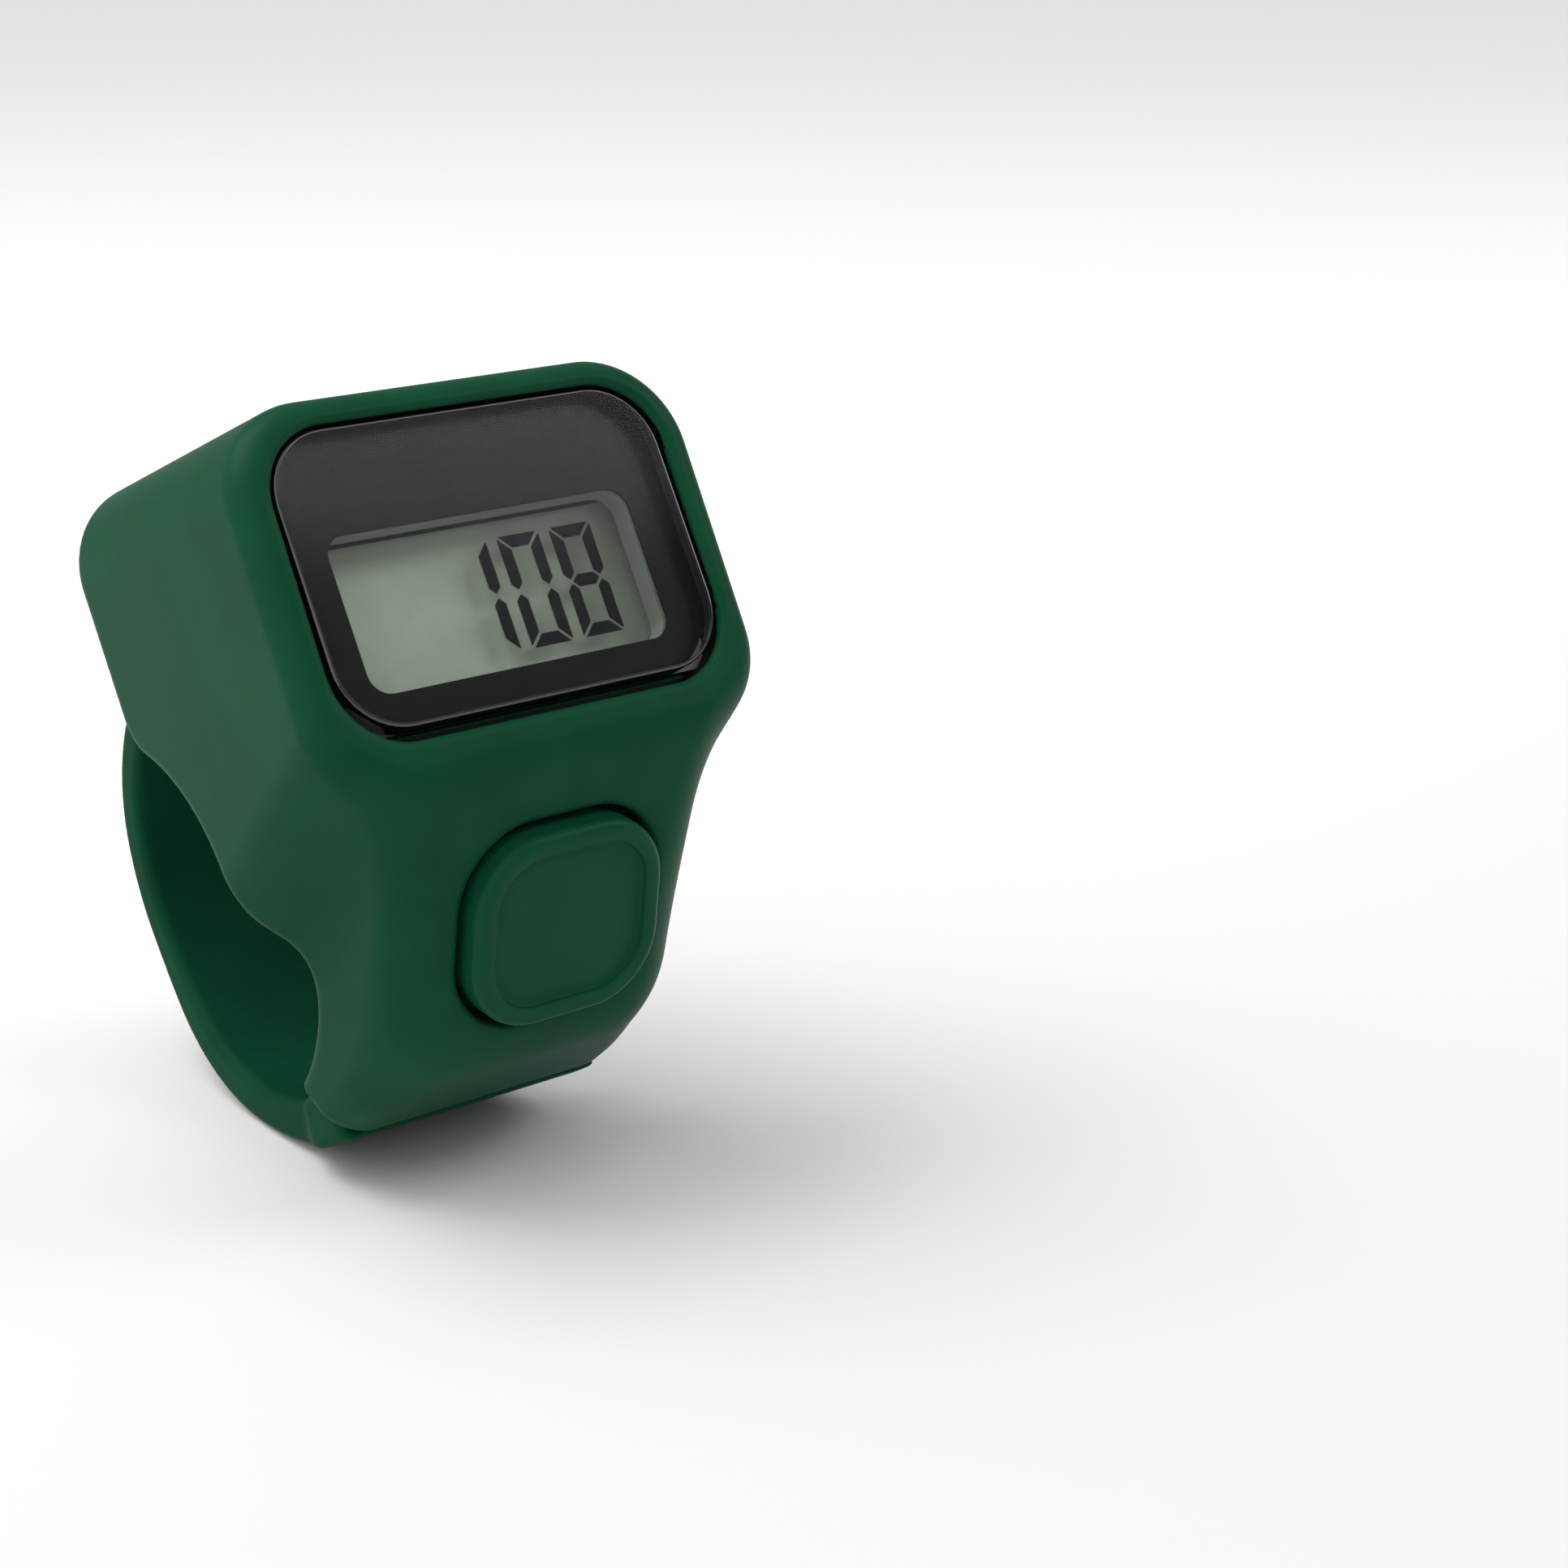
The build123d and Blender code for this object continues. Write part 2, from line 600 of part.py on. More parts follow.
def count_switch_case():
    """Case of the count switch, open for its stem."""
    shape = Rectangle(SWITCH_W, SWITCH_W) - Circle(STEM_R + STEM_GAP)
    return plate(shape, BUTTON_PLANE, -CASE_LOW, -CASE_AT)


def count_switch_stem():
    """Stem of the count switch, carried under the button's post."""
    return plate(Circle(STEM_R), BUTTON_PLANE, -STEM_LOW, -POST_LOW)


def switch_board():
    """Small board behind the count button."""
    tall = SWITCH_BOARD_UP + SWITCH_BOARD_DOWN
    shape = Pos(0, (SWITCH_BOARD_UP - SWITCH_BOARD_DOWN) / 2) * Rectangle(SWITCH_BOARD_W, tall)
    return plate(shape, BUTTON_PLANE, -CASE_LOW - BOARD_T, -CASE_LOW)


def flex_link():
    """Bent ribbon from the back of the main board to the back of the switch board."""
    out = outward(BUTTON_TURN)
    low = BUTTON_AT - out * (CASE_LOW + BOARD_T)
    end = low - along(BUTTON_TURN) * (SWITCH_BOARD_UP - LINK_HOLD)
    start = Vector(BOARD_LOW + LINK_HOLD, BACK_Z)
    under = Vector(0, -LINK_T)
    bend = meet(start, LEVEL, end, along(BUTTON_TURN))
    back = meet(start + under, LEVEL, end - out * LINK_T, along(BUTTON_TURN))
    face = make_face(Polyline(start, bend, end, end - out * LINK_T, back, start + under, close=True))
    return Pos(LINK_X, 0, 0) * slab(face, LINK_W)


def reset_button():
    """Round reset button with a dimple, a retaining flange and a post."""
    key = plate(Circle(RESET_D / 2), RESET_PLANE, -FLANGE_LOW, RESET_RISE)
    way = Axis(RESET_PLANE.origin, RESET_PLANE.z_dir)
    key = fillet(key.faces().sort_by(way)[-1].edges(), RESET_RISE * 0.9)
    key -= plate(Circle(RESET_DIMPLE_R), RESET_PLANE, RESET_RISE - RESET_DIMPLE, RESET_RISE)
    flange = Circle(RESET_D / 2 + RESET_GAP + RESET_FLANGE_OUT)
    key += plate(flange, RESET_PLANE, -FLANGE_LOW, -FLANGE_AT)
    return key + plate(Circle(POST_R), RESET_PLANE, -POST_LOW, -FLANGE_LOW)


def reset_switch_case():
    """Case of the reset switch, on the back of the main board."""
    tall = SWITCH_W / 2 + BACK_Z
    shape = Pos(0, (SWITCH_W - tall) / 2) * Rectangle(SWITCH_W, tall)
    low = -RESET_CASE_AT - RESET_SWITCH_L
    case = plate(shape, RESET_PLANE, low, -RESET_CASE_AT)
    case -= plate(Circle(STEM_R + STEM_GAP), RESET_PLANE, -RESET_BORE_LOW, -RESET_CASE_AT)
    return case - plate(Rectangle(SPAN, SPAN), Plane.XY, BACK_Z, SPAN)


def reset_switch_stem():
    """Stem of the reset switch, carried under the button's post."""
    return plate(Circle(STEM_R), RESET_PLANE, -RESET_STEM_LOW, -POST_LOW)


def rear_cover():
    """Cover behind the liner, screwed to the bosses."""
    band = finger_space(LINER_T + COVER_T) - finger_space(LINER_T)
    cover = inside(0, WALL + SEAM) & slab(band)
    for hole in at_bosses(SCREW_R + SCREW_GAP, COVER_Z - 1, BOSS_Z + 1):
        cover -= hole
    for sink in at_bosses(SCREW_HEAD_R + SCREW_GAP, COVER_Z, COVER_Z + SCREW_HEAD_T):
        cover -= sink
    return cover


def cover_screws():
    """Two slotted screws with flat heads."""
    heads = at_bosses(SCREW_HEAD_R, COVER_Z, COVER_Z + SCREW_HEAD_T)
    shanks = at_bosses(SCREW_R, COVER_Z, COVER_Z + SCREW_LEN)
    slot = Box(SPAN, SCREW_SLOT_W, 2 * SCREW_SLOT)
    return [head + shank - Pos(0, BOSS_Y, COVER_Z) * slot for head, shank in zip(heads, shanks)]


def strap_outline():
    """Plan of the strap: tapered from its base, with round corners at the tip."""
    base = STRAP_BASE_W / 2
    hook = STRAP_W / 2
    right = [(base, -TAIL_END.length - STRAP_T), (hook, 0), (hook, TIP_Y)]
    left = [(-x, y) for x, y in reversed(right)]
    face = make_face(Polyline(*right, *left, close=True))
    return fillet(face.vertices().group_by(Axis.Y)[-1], LIP_CORNER_R)


def strap_width():
    """The strap's plan cut through from front to back."""
    return extrude(strap_outline(), amount=SPAN, both=True)


def strap_base():
    """Soft liner of the finger hole and the fixed base of the strap, in one piece."""
    start = TAIL_UP * -PARTING
    far = start + TAIL_END * 2
    end = end_line(WALL + SEAM)
    head = meet(end, END_WAY, Vector(0, SPAN), LEVEL)
    foot = meet(end, END_WAY, CENTRE, LEVEL)
    room = make_face(Polyline(start, far, Vector(far.X, SPAN), head, foot, CENTRE, close=True))
    band = (finger_space(LINER_T) - finger_space(0)) & room
    liner = slab(band) & draw_through(outline(WALL + SEAM)) & head_room(WALL + SEAM)
    wedge = make_face(Polyline(start, far, ring(FLEX_AT, 2 * BASE_R), CENTRE, close=True))
    root = (Pos(BASE_AT.X, BASE_AT.Y) * Circle(BASE_R) - Circle(FINGER_R)) & wedge
    root -= Pos(FLEX_LINE.X, FLEX_LINE.Y) * Circle(KNUCKLE_R + FLEX_GAP)
    return liner + (slab(root) & strap_width())


def hook_edges():
    """Side view of the bending part of the strap, edge by edge."""
    half = STRAP_T / 2
    swing = 180 + HOOK_END
    reach = Vector(cos(radians(LIP_WAY)), sin(radians(LIP_WAY)))
    over = Vector(cos(radians(LIP_WAY + 90)), sin(radians(LIP_WAY + 90)))
    low_end = ring(FLEX_AT, base_radius(FLEX_AT))
    low_way = degrees(atan2(low_end.Y - BASE_AT.Y, low_end.X - BASE_AT.X)) % 360
    upper = FLARE_AT + over * (FLARE_R + half)
    lower = FLARE_AT + over * (FLARE_R - half)
    return [CenterArc(SWEEP_AT, SWEEP_R, 180 + FLEX_AT, HOOK_TURN - 180 - FLEX_AT),
            CenterArc(HOOK_AT, HOOK_IN, HOOK_TURN, swing - HOOK_TURN),
            CenterArc(FLARE_AT, FLARE_R + half, HOOK_END, -FLARE_TURN),
            Line(upper, upper + reach * LIP_LEN),
            CenterArc(LIP_TIP, half, LIP_WAY + 90, -180),
            Line(lower + reach * LIP_LEN, lower),
            CenterArc(FLARE_AT, FLARE_R - half, LIP_WAY + 90, FLARE_TURN),
            CenterArc(HOOK_AT, HOOK_R, swing, HOOK_TURN - swing),
            CenterArc(SWEEP_AT, BAND_R, HOOK_TURN, 180 + BASE_END - HOOK_TURN),
            CenterArc(BASE_AT, BASE_R, 180 + BASE_END, low_way - 180 - BASE_END),
            Line(low_end, ring(FLEX_AT, FINGER_R))]


def strap_hook():
    """Bending part of the strap: knuckle, round hook and flared lip."""
    face = make_face(hook_edges())
    face += Pos(FLEX_LINE.X, FLEX_LINE.Y) * Circle(KNUCKLE_R)
    return slab(face) & strap_width()


PIECES = [front_shell, display_lens, mask_film, lens_tape, lcd_panel, lcd_reflector, lcd_digits,
          lcd_frame, contact_strips, main_board, controller_chip, board_parts, button_cell,
          cell_plate_negative, cell_clip_positive, count_button, count_switch_case,
          count_switch_stem, switch_board, flex_link, reset_button, reset_switch_case,
          reset_switch_stem, rear_cover, cover_screws, strap_base, strap_hook]


def stand(shape):
    """Stand a piece up as the counter stands on its strap."""
    return Rot(90 - TILT_BACK, 0, 0) * shape


os.makedirs("parts", exist_ok=True)
for piece in PIECES:
    made = piece()
    if isinstance(made, list):
        made = Compound(children=[stand(solid) for solid in made])
    else:
        made = stand(made)
    export_step(made, f"parts/{piece.__name__}.step")
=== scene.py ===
import math

import bpy
import numpy as np
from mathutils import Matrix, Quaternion, Vector


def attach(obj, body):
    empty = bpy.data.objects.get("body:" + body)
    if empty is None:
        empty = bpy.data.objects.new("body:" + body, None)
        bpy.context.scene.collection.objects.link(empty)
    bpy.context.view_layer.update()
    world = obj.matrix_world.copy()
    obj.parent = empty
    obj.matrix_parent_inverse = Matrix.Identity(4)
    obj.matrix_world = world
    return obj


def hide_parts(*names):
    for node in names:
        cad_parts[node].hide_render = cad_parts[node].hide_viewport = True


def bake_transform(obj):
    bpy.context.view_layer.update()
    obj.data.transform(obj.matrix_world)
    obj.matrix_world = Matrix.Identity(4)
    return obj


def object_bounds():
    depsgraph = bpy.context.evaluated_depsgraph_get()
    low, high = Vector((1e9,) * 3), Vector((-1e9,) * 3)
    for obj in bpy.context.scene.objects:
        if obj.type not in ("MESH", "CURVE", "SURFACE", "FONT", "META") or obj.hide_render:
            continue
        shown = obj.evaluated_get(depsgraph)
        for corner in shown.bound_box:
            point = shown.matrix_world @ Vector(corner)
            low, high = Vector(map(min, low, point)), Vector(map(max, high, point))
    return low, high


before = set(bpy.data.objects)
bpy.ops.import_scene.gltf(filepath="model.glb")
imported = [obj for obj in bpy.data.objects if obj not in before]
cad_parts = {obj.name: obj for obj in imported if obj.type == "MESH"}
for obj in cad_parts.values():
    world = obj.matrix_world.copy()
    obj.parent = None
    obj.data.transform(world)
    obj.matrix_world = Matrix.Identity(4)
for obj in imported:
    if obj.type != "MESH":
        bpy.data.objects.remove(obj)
CAD_BOX = [[float(value) for value in corner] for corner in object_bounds()]

# Sizes in millimetres, in the frame the counter is drawn in: x across, y up the display,
# z out of the display, origin at the middle of the finger hole.
TILT = math.radians(90 - 30.28)
FINGER_R = 8.0
FACE_UP = 8.65
FACE_Z = 18.05
CREST_Z = 18.4
RIM_Z = 4.25
LEDGE_Z = 16.75
INNER_Z = 15.65
MASK_Z = 17.05
WALL = 1.4
LINER_T = 0.9
SEAM = 0.12
RIM_SINK = 0.1
RIM_ROUND = 2.5
HOLE_ROUND = 0.5
ROOM_ROUND = 0.15
LINER_ROUND = 0.2
HEAD_TOP = 15.75
HEAD_HALF = 10.5
TAIL_HALF = 7.5
TAIL_END_HALF = 6.75
SHOULDER_RUN = 2.26
SHOULDER_RISE = 0.3
SHOULDER_R = 3.0
DRAW_LEAN = math.radians(18.4)
END_SLANT = math.radians(7)
HEAD_CORNER_R = 4.0
EDGE_R = 1.15
TAIL_EDGE_R = 2.9
TAIL_FOOT_R = 1.7
TAIL_ROUND = 0.3
TAIL_EASE = (-3.1, -10.6)
FOOT_EASE = (9.5, 5)

# Lens, its pocket and the window under it
LENS_HALF = (8.9, 5.95)
LENS_R = 2.8
LENS_BEVEL = 0.18
LENS_LIFT = 0.02
POCKET_HALF = (9.08, 6.23)
POCKET_UP = 8.43
POCKET_R = 3.05
LIP_DROP = 0.4
LIP_ROUND = 0.3
WINDOW_DROP = 1.26
OPENING_HALF = (8.55, 4.7)
OPENING_R = 0.2
OPENING_FROM = INNER_Z - 1
OPENING_TO = LEDGE_Z + 0.1

# Bend, count button and tail
BEND = np.array([0.95, 18.4])
BEND_R = 3.0
BUTTON_TURN = math.radians(38)
BUTTON_BELOW = 7.6
TAIL_TURN = math.radians(81)
TAIL_BEND = 5.4
TAIL_BEND_R = 5.0
TAIL_LEN = 6.6
BUTTON_HALF = (4.4, 4.05)
BUTTON_R = 3.0
BUTTON_GAP = 0.3
BUTTON_RISE = 0.85
BUTTON_DEPTH = 2.6
BUTTON_EDGE = 0.25
BORDER_R = 0.42
PANEL_DROP = 0.3

# Reset button
RESET_R = 2.55
RESET_GAP = 0.12
RESET_DEPTH = 2.2
RESET_EDGE = 0.12
RESET_DOME = 0.62

# Strap
STRAP_T = 1.6
PARTING = 0.3
FLEX_AT = 20.0
BASE_END = 36.0
HOOK_IN = 7.0
HOOK_R = HOOK_IN + STRAP_T
HOOK_AT = np.array([3.6, -2.7])
HOOK_END = 175.0
FLARE_R = 3.0
FLARE_TURN = 75.0
LIP_LEN = 2.2
LIP_CORNER_R = 2.6
STRAP_HALF = 4.2
STRAP_BASE_HALF = 5.7
WEDGE_OUT = 0.85
WEDGE_EASE = (-6, 9)
STRAP_ROUND = 0.45
STRAP_PLAN_R = 30

# Boxes that hold the pieces meshed from a field, and the mesh's step
SHELL_BOX = ((-10.9, -12.4, 1.8), (10.9, 18.4, 19.0))
LINER_BOX = ((-9.6, -10.2, 1.6), (9.6, 17.2, 9.8))
STRAP_BOX = ((-6.6, -12.0, -12.2), (6.6, 17.6, 4.8))
STEP = 0.18


def down(angle):
    return np.array([-math.cos(angle), -math.sin(angle)])


def out_of(angle):
    return np.array([-math.sin(angle), math.cos(angle)])


BUTTON_AT = BEND + down(BUTTON_TURN) * BUTTON_BELOW
TAIL_KNEE = BUTTON_AT + down(BUTTON_TURN) * TAIL_BEND
TAIL_END = TAIL_KNEE + down(TAIL_TURN) * TAIL_LEN
TAIL_UP = np.array([TAIL_END[1], -TAIL_END[0]]) / np.hypot(*TAIL_END)
END_OUT = np.array([math.cos(END_SLANT), math.sin(END_SLANT)])
RESET_Z = (CREST_Z + RIM_Z) / 2
RESET_AT = np.array([HEAD_TOP + (CREST_Z - RESET_Z) * math.tan(END_SLANT), RESET_Z])


def draw_height(y, z):
    """Height of a side-view point in the draw plane."""
    return y * math.cos(DRAW_LEAN) - z * math.sin(DRAW_LEAN)


def ring(angle, radius):
    """Point round the finger hole: 0 on the tail side, 90 at the back, 180 on the head side."""
    turn = math.radians(angle)
    return np.array([-radius * math.cos(turn), -radius * math.sin(turn)])


SHOULDER_AT = draw_height(*BEND) + SHOULDER_RISE

# The strap's arcs: a sweep from the flex line, a tighter hook, and a base that thickens to the tail
FLEX_WAY = ring(FLEX_AT, 1)
TIGHTER = FINGER_R - HOOK_IN
SWEEP_OUT = (HOOK_AT @ HOOK_AT - TIGHTER**2) / (2 * (TIGHTER - HOOK_AT @ FLEX_WAY))
SWEEP_R = FINGER_R + SWEEP_OUT
SWEEP_AT = -FLEX_WAY * SWEEP_OUT
BAND_R = SWEEP_R + STRAP_T
HOOK_TURN = math.degrees(math.atan2(*(HOOK_AT - SWEEP_AT)[::-1])) % 360
BASE_WAY = ring(BASE_END, 1)
TAIL_OUT = TAIL_END - SWEEP_AT
BASE_OUT = (TAIL_OUT @ TAIL_OUT - BAND_R**2) / (2 * (BAND_R - TAIL_OUT @ BASE_WAY))
BASE_R = BAND_R + BASE_OUT
BASE_AT = SWEEP_AT - BASE_WAY * BASE_OUT


def to_world(points):
    """Drawing millimetres to the frame's metres."""
    x, y, z = np.asarray(points, float).T
    c, s = math.cos(TILT), math.sin(TILT)
    return np.stack([x, y * c - z * s, y * s + z * c], 1) / 1000


def arc(centre, radius, start, turn, count=24):
    """Points on an arc, angles in degrees."""
    angles = np.radians(np.linspace(start, start + turn, count))
    return np.asarray(centre) + radius * np.stack([np.cos(angles), np.sin(angles)], 1)


def rounded_path(corners, count=14):
    """Closed outline from corners (u, v, radius), each corner rounded by its radius."""
    path = []
    total = len(corners)
    for index, (u, v, radius) in enumerate(corners):
        here = np.array([u, v], float)
        before = np.array(corners[index - 1][:2], float) - here
        after = np.array(corners[(index + 1) % total][:2], float) - here
        if radius <= 0:
            path.append(here[None])
            continue
        before /= np.hypot(*before)
        after /= np.hypot(*after)
        half = math.acos(np.clip(before @ after, -1, 1)) / 2
        middle = before + after
        centre = here + middle / np.hypot(*middle) * radius / math.sin(half)
        first = here + before * radius / math.tan(half) - centre
        last = here + after * radius / math.tan(half) - centre
        start = math.atan2(first[1], first[0])
        turn = (math.atan2(last[1], last[0]) - start + math.pi) % (2 * math.pi) - math.pi
        path.append(arc(centre, radius, math.degrees(start), math.degrees(turn), count))
    return np.concatenate(path)


class Distance:
    """Signed distance to a closed outline, negative inside, read from a fine grid."""

    def __init__(self, outline, low, high, step=0.05):
        self.low = low
        self.step = step
        u = np.arange(low[0], high[0] + step, step)
        v = np.arange(low[1], high[1] + step, step)
        grid_u, grid_v = np.meshgrid(u, v, indexing="ij")
        best = np.full(grid_u.shape, 1e9)
        odd = np.zeros(grid_u.shape, bool)
        for (au, av), (bu, bv) in zip(outline, np.roll(outline, -1, 0)):
            du, dv = bu - au, bv - av
            size = du * du + dv * dv
            if size < 1e-12:
                continue
            share = np.clip(((grid_u - au) * du + (grid_v - av) * dv) / size, 0, 1)
            np.minimum(best, (grid_u - au - share * du) ** 2 + (grid_v - av - share * dv) ** 2, out=best)
            if dv:
                odd ^= ((av > grid_v) != (bv > grid_v)) & (grid_u < du * (grid_v - av) / dv + au)
        self.grid = np.where(odd, -1.0, 1.0) * np.sqrt(best)

    def __call__(self, u, v):
        top = np.array(self.grid.shape) - 1.001
        a = np.clip((u - self.low[0]) / self.step, 0, top[0])
        b = np.clip((v - self.low[1]) / self.step, 0, top[1])
        i, j = a.astype(int), b.astype(int)
        a, b = a - i, b - j
        g = self.grid
        return ((g[i, j] * (1 - a) + g[i + 1, j] * a) * (1 - b)
                + (g[i, j + 1] * (1 - a) + g[i + 1, j + 1] * a) * b)


def both(a, b, radius):
    """Where two forms overlap, with the edge between them rounded."""
    a, b = a + radius, b + radius
    return np.minimum(np.maximum(a, b), 0) + np.hypot(np.maximum(a, 0), np.maximum(b, 0)) - radius


def less(a, b, radius):
    """The first form without the second, with the edge between them rounded."""
    return both(a, -b, radius)


def round_box(u, v, half, radius):
    """Signed distance to a rectangle with round corners."""
    a = np.abs(u) - (half[0] - radius)
    b = np.abs(v) - (half[1] - radius)
    return np.hypot(np.maximum(a, 0), np.maximum(b, 0)) + np.minimum(np.maximum(a, b), 0) - radius


def ease(value, start, end):
    """Smooth step from 0 to 1."""
    share = np.clip((value - start) / (end - start), 0, 1)
    return share * share * (3 - 2 * share)


def surface_net(field, low, high, step):
    """Closed quad mesh on the zero surface of a field, with its points moved onto that surface."""
    axes = [np.arange(a, b + step, step) for a, b in zip(low, high)]
    values = field(*np.meshgrid(*axes, indexing="ij"))
    shape = np.array(values.shape) - 1
    total = np.zeros((*shape, 3))
    count = np.zeros(shape)
    quads = []
    crossings = []
    for axis in range(3):
        lower = [slice(None)] * 3
        upper = [slice(None)] * 3
        lower[axis] = slice(0, -1)
        upper[axis] = slice(1, None)
        va, vb = values[tuple(lower)], values[tuple(upper)]
        cross = (va < 0) != (vb < 0)
        share = np.where(cross, va / np.where(cross, va - vb, 1), 0)
        first, second = (axis + 1) % 3, (axis + 2) % 3
        for d1 in (0, 1):
            for d2 in (0, 1):
                part = [slice(None)] * 3
                part[first] = slice(d1, d1 + shape[first])
                part[second] = slice(d2, d2 + shape[second])
                hit = cross[tuple(part)]
                count += hit
                total[..., axis] += share[tuple(part)]
                total[..., first] += d1 * hit
                total[..., second] += d2 * hit
        crossings.append((axis, first, second, cross, va))
    used = count > 0
    names = np.full(shape, -1)
    names[used] = np.arange(used.sum())
    cells = np.argwhere(used)
    points = (cells + total[used] / count[used][:, None]) * step + np.array(low)
    for axis, first, second, cross, va in crossings:
        inner = [slice(None)] * 3
        inner[first] = slice(1, -1)
        inner[second] = slice(1, -1)
        hits = np.argwhere(cross[tuple(inner)])
        signs = va[tuple(inner)][tuple(hits.T)] < 0
        corners = []
        for d1, d2 in ((0, 0), (1, 0), (1, 1), (0, 1)):
            cell = hits.copy()
            cell[:, first] += d1
            cell[:, second] += d2
            corners.append(names[tuple(cell.T)])
        quad = np.stack(corners, 1)
        quad[~signs] = quad[~signs][:, ::-1]
        quads.append(quad)
    for _ in range(4):
        points -= move_onto(field, points, step)
    return points, np.concatenate(quads)


def move_onto(field, points, step):
    """Step that brings points nearer to a field's zero surface."""
    x, y, z = points.T
    reach = 0.02
    slope = np.stack([field(x + reach, y, z) - field(x - reach, y, z),
                      field(x, y + reach, z) - field(x, y - reach, z),
                      field(x, y, z + reach) - field(x, y, z - reach)], 1) / (2 * reach)
    value = field(x, y, z)[:, None]
    move = value * slope / np.maximum((slope**2).sum(1, keepdims=True), 0.2)
    return np.clip(move, -step / 2, step / 2)


# Outlines of the shell
LIP_BEND = BEND + down(BUTTON_TURN) * LIP_DROP / math.sin(BUTTON_TURN)


def lip_height(y):
    """Height of the rim round the lens, which sinks a little towards the bend."""
    return CREST_Z - LIP_DROP * (HEAD_TOP - y) / (HEAD_TOP - LIP_BEND[0])


def shell_side():
    """Side view of the front: display, bend, button face and tail, open at the head's end."""
    far = 60
    tail_low = TAIL_END + down(TAIL_TURN) * 8
    corners = [(far, lip_height(far), 0), (*LIP_BEND, BEND_R), (*TAIL_KNEE, TAIL_BEND_R),
               (*tail_low, 0), (tail_low[0], -far, 0), (far, -far, 0)]
    return rounded_path(corners)


def finger_side():
    """Side view of the room for the finger."""
    meet = math.sqrt((FINGER_R + RIM_ROUND) ** 2 - (RIM_Z + RIM_ROUND) ** 2)
    centre = np.array([meet, RIM_Z + RIM_ROUND])
    touch = math.degrees(math.atan2(-centre[1], -centre[0]))
    turn = math.degrees(math.atan2(centre[1], centre[0]))
    around = arc((0, 0), FINGER_R, turn, 285 - turn, 120)
    saddle = arc(centre, RIM_ROUND, 270, touch + 360 - 270, 30)
    return np.concatenate([around, [[around[-1][0], -60], [60, -60], [60, RIM_Z]], saddle])


def shell_plan():
    """Front view of the shell along the draw direction."""
    half = SHOULDER_RUN / 2
    knee = draw_height(*TAIL_KNEE)
    right = [(HEAD_HALF, 60, 0), (HEAD_HALF, SHOULDER_AT + half, SHOULDER_R),
             (TAIL_HALF, SHOULDER_AT - half, SHOULDER_R), (TAIL_END_HALF, knee, 0),
             (TAIL_END_HALF, -60, 0)]
    left = [(-u, v, r) for u, v, r in reversed(right)]
    return rounded_path(right[::-1] + left[::-1])


SIDE = Distance(shell_side(), (-16, -14), (20, 22))
FINGER = Distance(finger_side(), (-16, -14), (20, 22))
PLAN = Distance(shell_plan(), (-12, -20), (12, 20))


def walls(x, y, z):
    """Distance to the shell's upright walls, with the head's corners rounded."""
    end = (y - HEAD_TOP) * END_OUT[0] + (z - CREST_Z) * END_OUT[1]
    return both(PLAN(x, draw_height(y, z)), end, HEAD_CORNER_R)


def shell_field(x, y, z):
    """The shell: outer form, room inside, lens pocket, window and the two button holes."""
    side = SIDE(y, z)
    upright = walls(x, y, z)
    tail = -(y * TAIL_UP[0] + z * TAIL_UP[1])
    tail_edge = TAIL_EDGE_R + (TAIL_FOOT_R - TAIL_EDGE_R) * ease(z, *FOOT_EASE)
    edge = EDGE_R + (tail_edge - EDGE_R) * ease(draw_height(y, z), *TAIL_EASE)
    form = both(side, upright, edge)
    form = both(form, tail, TAIL_ROUND)
    form = less(form, FINGER(y, z) - RIM_SINK, HOLE_ROUND)
    room = np.maximum(np.maximum(side + WALL, z - INNER_Z), np.maximum(upright + WALL, tail + WALL))
    slot = np.maximum(np.hypot(y, z) - (FINGER_R + LINER_T + SEAM), upright + WALL)
    form = less(form, np.minimum(room, slot), ROOM_ROUND)
    pocket = round_box(x, y - POCKET_UP, POCKET_HALF, POCKET_R)
    form = less(form, np.maximum(pocket, LEDGE_Z - z), LIP_ROUND)
    opening = round_box(x, y - FACE_UP + WINDOW_DROP, OPENING_HALF, OPENING_R)
    form = np.maximum(form, -np.maximum(opening, np.maximum(OPENING_FROM - z, z - OPENING_TO)))
    up = -down(BUTTON_TURN)
    over = out_of(BUTTON_TURN)
    rise = (y - BUTTON_AT[0]) * up[0] + (z - BUTTON_AT[1]) * up[1]
    height = (y - BUTTON_AT[0]) * over[0] + (z - BUTTON_AT[1]) * over[1]
    half = (BUTTON_HALF[0] + BUTTON_GAP, BUTTON_HALF[1] + BUTTON_GAP)
    hole = round_box(x, rise, half, BUTTON_R + BUTTON_GAP)
    form = less(form, np.maximum(hole, -height - BUTTON_DEPTH), BUTTON_EDGE)
    along = (y - RESET_AT[0]) * END_OUT[0] + (z - RESET_AT[1]) * END_OUT[1]
    across = (z - RESET_AT[1]) * END_OUT[0] - (y - RESET_AT[0]) * END_OUT[1]
    bore = np.hypot(x, across) - (RESET_R + RESET_GAP)
    return less(form, np.maximum(bore, -along - RESET_DEPTH), RESET_EDGE)


def liner_field(x, y, z):
    """The soft liner of the finger hole."""
    finger = FINGER(y, z)
    tail = -(y * TAIL_UP[0] + z * TAIL_UP[1]) - PARTING
    band = np.maximum(np.maximum(finger - LINER_T, -finger), tail)
    return both(band, walls(x, y, z) + WALL + SEAM, LINER_ROUND)


